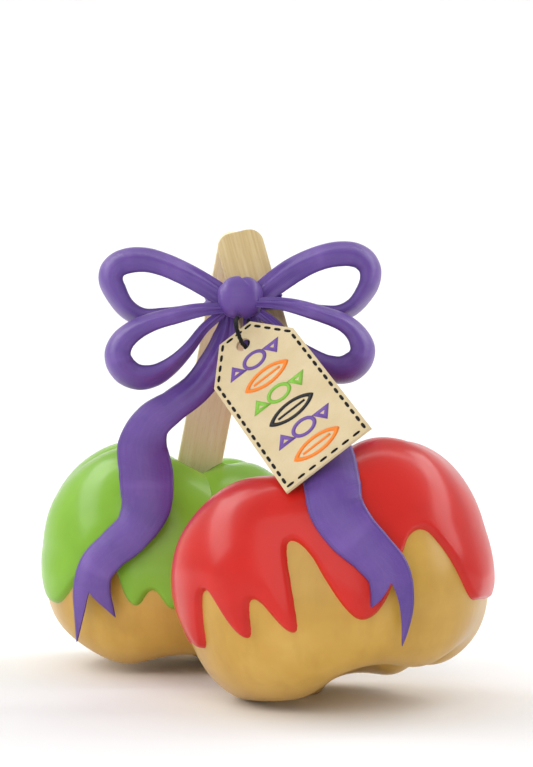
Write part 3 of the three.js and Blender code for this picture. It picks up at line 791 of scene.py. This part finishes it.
# ---------------------------------------------------------------- bow tails
# The ribbon's two ends hang from the knot over the apples, and curl as they leave the spool's set.
# Both are cut to a fork, so that they don't fray.
TAIL = {"steps": (200, 22), "fork_start": 0.75, "arch": 0.13, "arch_sunk": 0.6}
TAILS = {
    "left": {
        "cut": (0, 13.8, 5.8),
        "points": (
            (-6.2, -13.6, 101.9), (-7.4, -12.9, 95.4), (-11, -12.6, 87.4), (-15.6, -12.6, 81.4),
            (-22, -12.2, 76.6), (-27.8, -10.8, 72), (-30.3, -8.8, 65.4), (-29.4, -7.6, 57.4),
            (-29.8, -7, 49.4), (-33.6, -5.4, 42.1), (-39.6, -3.4, 36.6), (-44, -1.6, 31.4),
            (-45.2, -0.8, 25.4), (-44.4, -0.4, 18.4), (-43.4, 0, 11.4),
        ),
        "turned": (0, 0, 0, 10, 20, 15, 5, 0, 10, 30, 35, 30, 25, 20, 15),
        "widths": (4, 7, 8.5, 8.5, 9, 11, 14, 15, 14.5, 12, 11, 11.5, 12, 12.5, 13),
        "rests_on": "green_candy",
    },
    "right": {
        "cut": (8, 16, 0),
        "points": (
            (-0.8, -14.6, 101.2), (0.5, -15.4, 95.6), (3.4, -20.5, 89), (8.8, -32.5, 81), (14.6, -45, 71.9),
            (18.6, -55.6, 64), (19.7, -63.6, 58), (20.6, -67.8, 52.4), (24, -70.2, 47), (29, -71, 42),
            (33, -71.4, 37), (34, -71.2, 30.4), (33, -69.6, 24.4), (31.6, -67.2, 20),
        ),
        "turned": (0, 0),
        "widths": (4, 6.5, 10, 13, 14, 14, 14, 13.5, 12.5, 11, 10.5, 10.5, 10.5, 10.5),
        "rests_on": "red_candy",
    },
}
for name, tail in TAILS.items():
    route = Route(tail["points"])
    grown, along, across = strip(TAIL["steps"])
    left_end, notch, right_end = tail["cut"]
    corner = np.where(across < 0.5, left_end, right_end)
    ending = notch + (corner - notch) * abs(2 * across - 1)
    near_end = (along - TAIL["fork_start"]).clip(0) / (1 - TAIL["fork_start"])
    share = along - near_end * ending / route.length
    station = route.station(share)
    turned = np.radians(listed(tail["turned"], station))
    heading = route.heading(share)
    front = np.stack([-np.sin(turned), -np.cos(turned), 0 * turned], axis=-1)
    side = np.cross(heading, front)
    side /= lengths(side)
    front = np.cross(side, heading)
    width = listed(tail["widths"], station)
    gather = (1 - share / PLEAT["reach"]).clip(0) ** PLEAT["fade"]
    fold = PLEAT["depth"] * gather * np.cos(2 * math.pi * PLEAT["count"] * across)
    arch = TAIL["arch"] * width * (1 - (2 * across - 1) ** 2 - TAIL["arch_sunk"])
    rise = RIBBON["thickness"] / 2 + arch + fold
    places = route.at(share) + ((0.5 - across) * width)[:, None] * side + rise[:, None] * front
    grown = facing(grown, places, lambda place: (0, -1, 0))
    piece = ribbon(f"tail_{name}", grown, places, f"bow_tail_{name}")
    cloth_pin(piece, share, across, route.length)
    cut_off = sum((notch + end) / 4 for end in (left_end, right_end)) * RIBBON["width"]
    (RIBBON["width"] * route.length - cut_off) * MM * MM


# ---------------------------------------------------------------- wrap and knot
# The same ribbon goes round both sticks, gathered to about half its width, and is tied in front in
# one round knot. The knot puffs out on both sides of the crease where the ribbon tucks in.
WRAP = {
    "height": 5, "gap": 0.5, "pleat": 0.22, "pleats": 3, "steps": (160, 24), "turns": 1441, "weave": 9,
}
# How the wrap wanders up and down on its way round: how far, in how many waves and from where.
WAVES = ((0.4, 2, 1), (0.25, 3, 0))


def stick_edges(height):
    """Where the long edges of both sticks pass this height, as [x, y]."""
    passing = []
    for stick in STICKS.values():
        across, along, face = np.array(stick_frame(stick)).T
        for side in (-1, 1):
            for front in (-1, 1):
                to_edge = side * STICK["width"] * across + front * STICK["thickness"] * face
                edge = stick["top"] + to_edge / 2
                passing.append((edge + along * (height - edge[2]) / along[2])[:2])
    return np.array(passing)


# The ribbon is pulled tight, so it runs straight from edge to edge and turns only round the edges.
edges = stick_edges(KNOT[2])
drift = stick_edges(KNOT[2] + 1) - edges
turn = np.linspace(0, 2 * math.pi, WRAP["turns"])
facing_out = np.stack([np.cos(turn), np.sin(turn)], axis=-1)
touched = (facing_out @ edges.T).argmax(axis=1)
outline = np.hstack([edges[touched] + WRAP["gap"] * facing_out, drift[touched], facing_out])
walked = np.concatenate([[0], np.cumsum(lengths(np.diff(outline[:, :2], axis=0)))])
grown, along, across = strip(WRAP["steps"])
on_outline = np.stack([np.interp(along * walked[-1], walked, column) for column in outline.T], axis=-1)
wave = sum(far * np.sin(2 * math.pi * count * along + start) for far, count, start in WAVES)
rise = (across - 0.5) * WRAP["height"] + wave
pleat = WRAP["pleat"] * (1 + np.cos(2 * math.pi * WRAP["pleats"] * across + 0.8 * wave))
flat = on_outline[:, :2] + rise[:, None] * on_outline[:, 2:4] + pleat[:, None] * on_outline[:, 4:]
places = np.column_stack([flat, KNOT[2] + rise])
wrap_middle = places.mean(axis=0)
grown = facing(grown, places, lambda place: np.array(place) - wrap_middle)
bmesh.ops.remove_doubles(grown, verts=grown.verts, dist=0.01)
places = corner_places(grown)
piece = ribbon("wrap", grown, places, "bow_wrap")
round_wrap = np.arctan2(places[:, 1] - wrap_middle[1], places[:, 0] - wrap_middle[0])
pinned(piece, "cloth", np.stack([WRAP["weave"] * round_wrap, 0 * round_wrap, places[:, 2]], axis=-1))

KNOT_SHAPE = {"size": (12.2, 10.4, 11.6), "square": 2.3, "columns": 200, "rows": 150}
# Small folds at the knot's two sides: height, how far out they are and over how much they fade.
KNOT_FOLDS = {"height": 0.16, "at": 0.85, "over": 0.25}
# One side of each crease is a sharp lip and the other a wide slope. The creases run from the knot's
# poles: where they start, how far they run and slant, and on which side the slope is.
CREASE = {"deep": 0.6, "wide": 0.17, "sharp": 0.05}
CREASES = (
    {"x": 0.02, "up": 1, "fade": 0.34, "slant": -0.75, "slope_side": 1},
    {"x": 0.12, "up": -1, "fade": 0.32, "slant": -0.8, "slope_side": -1},
)
grown, polar, azimuth = ball(KNOT_SHAPE["columns"], KNOT_SHAPE["rows"])
spread = np.sin(polar)
unit = np.stack([spread * np.cos(azimuth), spread * np.sin(azimuth), np.cos(polar)], axis=-1)
squared = (abs(unit) ** KNOT_SHAPE["square"]).sum(axis=1, keepdims=True) ** (-1 / KNOT_SHAPE["square"])
x, y, z = unit.T
sunk = KNOT_FOLDS["height"] * np.sin(9 * x + 3 * z)
sunk *= np.exp(-((abs(x) - KNOT_FOLDS["at"]) / KNOT_FOLDS["over"]) ** 2)
for crease in CREASES:
    reach = (1 - crease["up"] * z).clip(0)
    past = crease["slope_side"] * (x - crease["x"] + crease["slant"] * crease["up"] * reach)
    lip = np.exp(-((past / np.where(past > 0, CREASE["wide"], CREASE["sharp"])) ** 2))
    sunk += CREASE["deep"] * lip * np.exp(-((reach / crease["fade"]) ** 2))
places = KNOT + unit * squared * (np.array(KNOT_SHAPE["size"]) / 2 - sunk[:, None])
piece = made("knot", outward(grown, places), satin, places, "bow_knot")
pinned(piece, "cloth", np.stack([6 * polar, 0 * x, 7 * x + 3 * y], axis=-1))


# ---------------------------------------------------------------- gift tag
# A tag of stiff cream card with two corners cut off and a punched hole. It hangs by the string from
# the knot and leans on the red apple's shoulder, bent a little along its length.
TAG = {
    "hole": (-2.4, -25.5, 92.8), "foot": (18.9, -64, 63.8), "across": (0.792, -0.022, 0.61),
    "width": 26.2, "thickness": 0.9, "hole_radius": 2, "above_hole": 5.4,
    "chamfer_across": 7.9, "chamfer_along": 12, "bend": 0.5, "spokes": 84, "rings": 14, "rubbed": 0.12,
}
tag_rise = Vector(TAG["hole"]) - Vector(TAG["foot"])
tag_up = tag_rise.normalized()
tag_across = Vector(TAG["across"])
tag_across = (tag_across - tag_up * tag_up.dot(tag_across)).normalized()
tag_out = tag_across.cross(tag_up)
tag_turn = np.array((tag_across, tag_up, tag_out))
half = TAG["width"] / 2
top = TAG["above_hole"]
foot = -tag_rise.length
shoulder = (half - TAG["chamfer_across"], top - TAG["chamfer_along"])
TAG_CORNERS = np.array((
    (-half, foot), (half, foot), (half, shoulder[1]),
    (shoulder[0], top), (-shoulder[0], top), (-half, shoulder[1]),
))


def on_tag(flat):
    """Places on the tag for points across it, up it and out of its middle plane."""
    bent = flat.copy()
    bent[:, 2] += TAG["bend"] * ((2 * flat[:, 1] / foot - 1) ** 2 - 1)
    return bent @ tag_turn + TAG["hole"]


def outline_radius(corners, angle):
    """How far the outline is from the hole in each direction."""
    nearest = np.full(len(angle), np.inf)
    ray = np.stack([np.cos(angle), np.sin(angle)], axis=-1)
    for start, end in zip(corners, np.roll(corners, -1, axis=0)):
        edge = end - start
        normal = np.array((edge[1], -edge[0]))
        towards = ray @ normal
        met = towards > 1e-6
        nearest[met] = np.minimum(nearest[met], normal @ start / towards[met])
    return nearest


# Uncoated card is matt, with pale and dark fibres and a rubbed edge.
card = Finish("cream card")
where = card.pin("card")
pulp = card.noise(where, 2.2, detail=5, rough=0.65)
blotch = card.noise(where, 0.12, detail=2)
fibre = card.noise(card.stretched(where, (0.5, 6, 1)), 1, detail=3)
tone = card.ramp(blotch, (0.35, paint("d3bf97")), (0.65, paint("d9c7a1")))
card.surface(
    Base_Color=card.mix(card.between(pulp, 0.5, 0.75) * 0.35, tone, paint("c6ae82")),
    Roughness=0.82, Specular_IOR_Level=0.3, Normal=card.bump(pulp + 0.5 * fibre, 0.00006),
)
turns = np.linspace(-math.pi, math.pi, TAG["spokes"], endpoint=False)
turns = np.sort(np.concatenate([turns, np.arctan2(TAG_CORNERS[:, 1], TAG_CORNERS[:, 0])]))
ray = np.stack([np.cos(turns), np.sin(turns)], axis=-1)
grown = bmesh.new()
loops = []
for radius in (outline_radius(TAG_CORNERS, turns), np.full(len(turns), TAG["hole_radius"])):
    rim = bmesh.ops.create_circle(grown, segments=len(turns), radius=1)["verts"]
    for corner, spot in zip(rim, ray * radius[:, None]):
        corner.co = (*spot, 0)
    loops.append(rim)
bmesh.ops.bridge_loops(grown, edges=grown.edges[:])
spokes = [edge for edge in grown.edges if (edge.verts[0] in loops[0]) != (edge.verts[1] in loops[0])]
bmesh.ops.subdivide_edges(grown, edges=spokes, cuts=TAG["rings"], use_grid_fill=True)
flat = corner_places(grown)
places = on_tag(flat)
grown = facing(grown, places, lambda place: tag_out)
piece = made("tag_card", grown, card, places, "tag")
pinned(piece, "card", flat)
thickened(piece, TAG["thickness"], 0)
soft = piece.modifiers.new("rubbed edge", "BEVEL")
soft.width = TAG["rubbed"] * MM
soft.segments = 2

# Black running stitch goes all round the tag, just inside its edge, on both faces in turn.
STITCH = {
    "inset": 1.2, "length": 2.2, "pitch": 3.2, "width": 0.85, "height": 0.5, "blunt": 0.6, "lap": 0.6,
    "columns": 10, "rows": 8, "yarn": (0.4, 0.4, 1),
}
inset = []
neighbours = np.roll(TAG_CORNERS, 1, axis=0), TAG_CORNERS, np.roll(TAG_CORNERS, -1, axis=0)
for before, corner, after in zip(*neighbours):
    arriving = (corner - before) / np.linalg.norm(corner - before)
    leaving = (after - corner) / np.linalg.norm(after - corner)
    inward = np.array((-arriving[1] - leaving[1], arriving[0] + leaving[0]))
    inward /= np.linalg.norm(inward)
    inset.append(corner + inward * STITCH["inset"] / (inward @ (-arriving[1], arriving[0])))
grown = bmesh.new()
spots = []
for start, end in zip(inset, inset[1:] + inset[:1]):
    run = end - start
    count = 2 * round(np.linalg.norm(run) / STITCH["pitch"])
    spots += [(start + run * (i + 0.5) / count, math.atan2(run[1], run[0]), i % 2) for i in range(count)]
for spot, heading, behind in spots:
    stitch = bmesh.ops.create_uvsphere(
        grown, u_segments=STITCH["columns"], v_segments=STITCH["rows"], radius=1
    )["verts"]
    length = STITCH["pitch"] - STITCH["length"] + STITCH["lap"] if behind else STITCH["length"]
    for corner in stitch:
        x, y, z = corner.co.zxy
        x = math.copysign(abs(x) ** STITCH["blunt"], x) * length / 2
        y = y * STITCH["width"] / 2
        z = z * STITCH["height"] / 2 + (-1 if behind else 1) * TAG["thickness"] / 2
        corner.co = (
            spot[0] + x * math.cos(heading) - y * math.sin(heading),
            spot[1] + x * math.sin(heading) + y * math.cos(heading), z,
        )
flat = corner_places(grown)
places = on_tag(flat)
piece = made("tag_stitches", outward(grown, places), cotton, places)
pinned(piece, "yarn", flat * STITCH["yarn"])

# Small printed sweets and leaves run down the tag in the colours of the treats.
MOTIF = {"first": -7.3, "pitch": 7.7, "stroke": 1.05, "ink": 0.1}
SWEET = {"middle": (3.6, 3), "twist": (3.1, 2.9), "apart": 5.9}
LEAF = {"size": (7, 3.1), "pointed": 1.5, "rib": (4.2, 0.36)}
INKS = ("6d4c9c", "f5821f", "7fbb3c", "141216", "6d4c9c", "f5821f")
ink = Finish("printing ink")
ink.surface(Base_Color=ink.pin("ink"), Roughness=0.6, Specular_IOR_Level=0.35)


def ring(grown, corners, size, shift, pointed=1, turn=0):
    """One closed stroke round an outline with so many corners, 3 for a triangle."""
    rims = []
    for less in (0, MOTIF["stroke"]):
        rim = bmesh.ops.create_circle(grown, segments=corners, radius=1)["verts"]
        for corner in rim:
            x, y = corner.co.xy
            angle = math.atan2(y, x) + turn
            x, y = math.cos(angle), math.sin(angle)
            y = math.copysign(abs(y) ** pointed, y)
            slim = less * (2 if corners == 3 else 1)
            corner.co = (x * (size[0] - slim * pointed) + shift[0], y * (size[1] - slim) + shift[1], 0)
        rims += rim
    edges = dict.fromkeys(edge for corner in rims for edge in corner.link_edges)
    bmesh.ops.bridge_loops(grown, edges=list(edges))
    return rims


def sweet(grown, level):
    """A wrapped sweet: a round middle and a twist of wrapper on both sides."""
    corners = ring(grown, 36, SWEET["middle"], (0, level))
    corners += ring(grown, 3, SWEET["twist"], (SWEET["apart"], level), turn=math.pi)
    return corners + ring(grown, 3, SWEET["twist"], (-SWEET["apart"], level))


def leaf(grown, level):
    """A leaf with its midrib."""
    corners = ring(grown, 40, LEAF["size"], (0, level), pointed=LEAF["pointed"])
    rib = Matrix.Translation((0, level, 0)) @ Matrix.Diagonal((*LEAF["rib"], 1, 1))
    return corners + bmesh.ops.create_grid(grown, x_segments=12, y_segments=1, size=1, matrix=rib)["verts"]


grown = bmesh.new()
layer = grown.verts.layers.float_vector.new("ink")
for i, code in enumerate(INKS):
    level = MOTIF["first"] - i * MOTIF["pitch"]
    for corner in (sweet, leaf)[i % 2](grown, level):
        corner[layer] = paint(code)[:3]
places = on_tag(corner_places(grown) + (0, 0, TAG["thickness"] / 2))
put(grown, places)
grown.normal_update()
for face in grown.faces:
    if face.normal.dot(tag_out) < 0:
        face.normal_flip()
piece = made("tag_motifs", grown, ink, places)
thickened(piece, MOTIF["ink"], 1)


# ---------------------------------------------------------------- floor and light
# A white sweep of paper under and behind the pair, with large soft lamps at both sides and above.
SWEEP = {"half": 2.5, "rows": 160, "bend_at": 0.9, "radius": 0.9}  # in metres
paper = Finish("white paper")
paper.surface(Base_Color=(0.9, 0.9, 0.9, 1), Roughness=0.9, Specular_IOR_Level=0.2)
grown = bmesh.new()
bmesh.ops.create_grid(grown, x_segments=2, y_segments=SWEEP["rows"], size=SWEEP["half"])
for corner in grown.verts:
    past = corner.co.y - SWEEP["bend_at"]
    if past > 0:
        angle = min(past / SWEEP["radius"], math.pi / 2)
        beyond = past - angle * SWEEP["radius"]
        corner.co.y = SWEEP["bend_at"] + SWEEP["radius"] * math.sin(angle)
        corner.co.z = SWEEP["radius"] * (1 - math.cos(angle)) + beyond
shown("sweep", grown, paper)


def softbox(name, place, size, power, run=(1, 0, 0), towards=(0, 0, 0.06)):
    """A rectangular lamp that looks towards a place, with its first side along `run`."""
    lamp = bpy.data.lights.new(name, "AREA")
    lamp.shape = "RECTANGLE"
    lamp.size, lamp.size_y = size
    lamp.energy = power
    back = (Vector(place) - Vector(towards)).normalized()
    first = (Vector(run) - back * back.dot(Vector(run))).normalized()
    holder = bpy.data.objects.new(name, lamp)
    turned = Matrix((first, back.cross(first), back)).transposed()
    holder.matrix_world = Matrix.Translation(place) @ turned.to_4x4()
    bpy.context.collection.objects.link(holder)


softbox("left strip", (-0.7, 0.12, 0.5), (1.1, 0.3), 4.2, run=(0.88, 1.03, 0.49))
softbox("right strip", (0.7, 0.12, 0.5), (1.1, 0.3), 3.8, run=(-0.88, 1.03, 0.49))
softbox("front fill", (-0.45, -1.5, 0.75), (1.7, 1.7), 13.5)
softbox("backdrop lamp", (0, 0.35, 1.1), (2.4, 0.5), 16, towards=(0, 1.6, 0.25))
world = bpy.data.worlds.new("studio")
world.use_nodes = True
background = world.node_tree.nodes["Background"]
background.inputs["Color"].default_value = (1, 1, 1, 1)
background.inputs["Strength"].default_value = 0.42
bpy.context.scene.world = world
bpy.context.scene.view_settings.view_transform = "Standard"
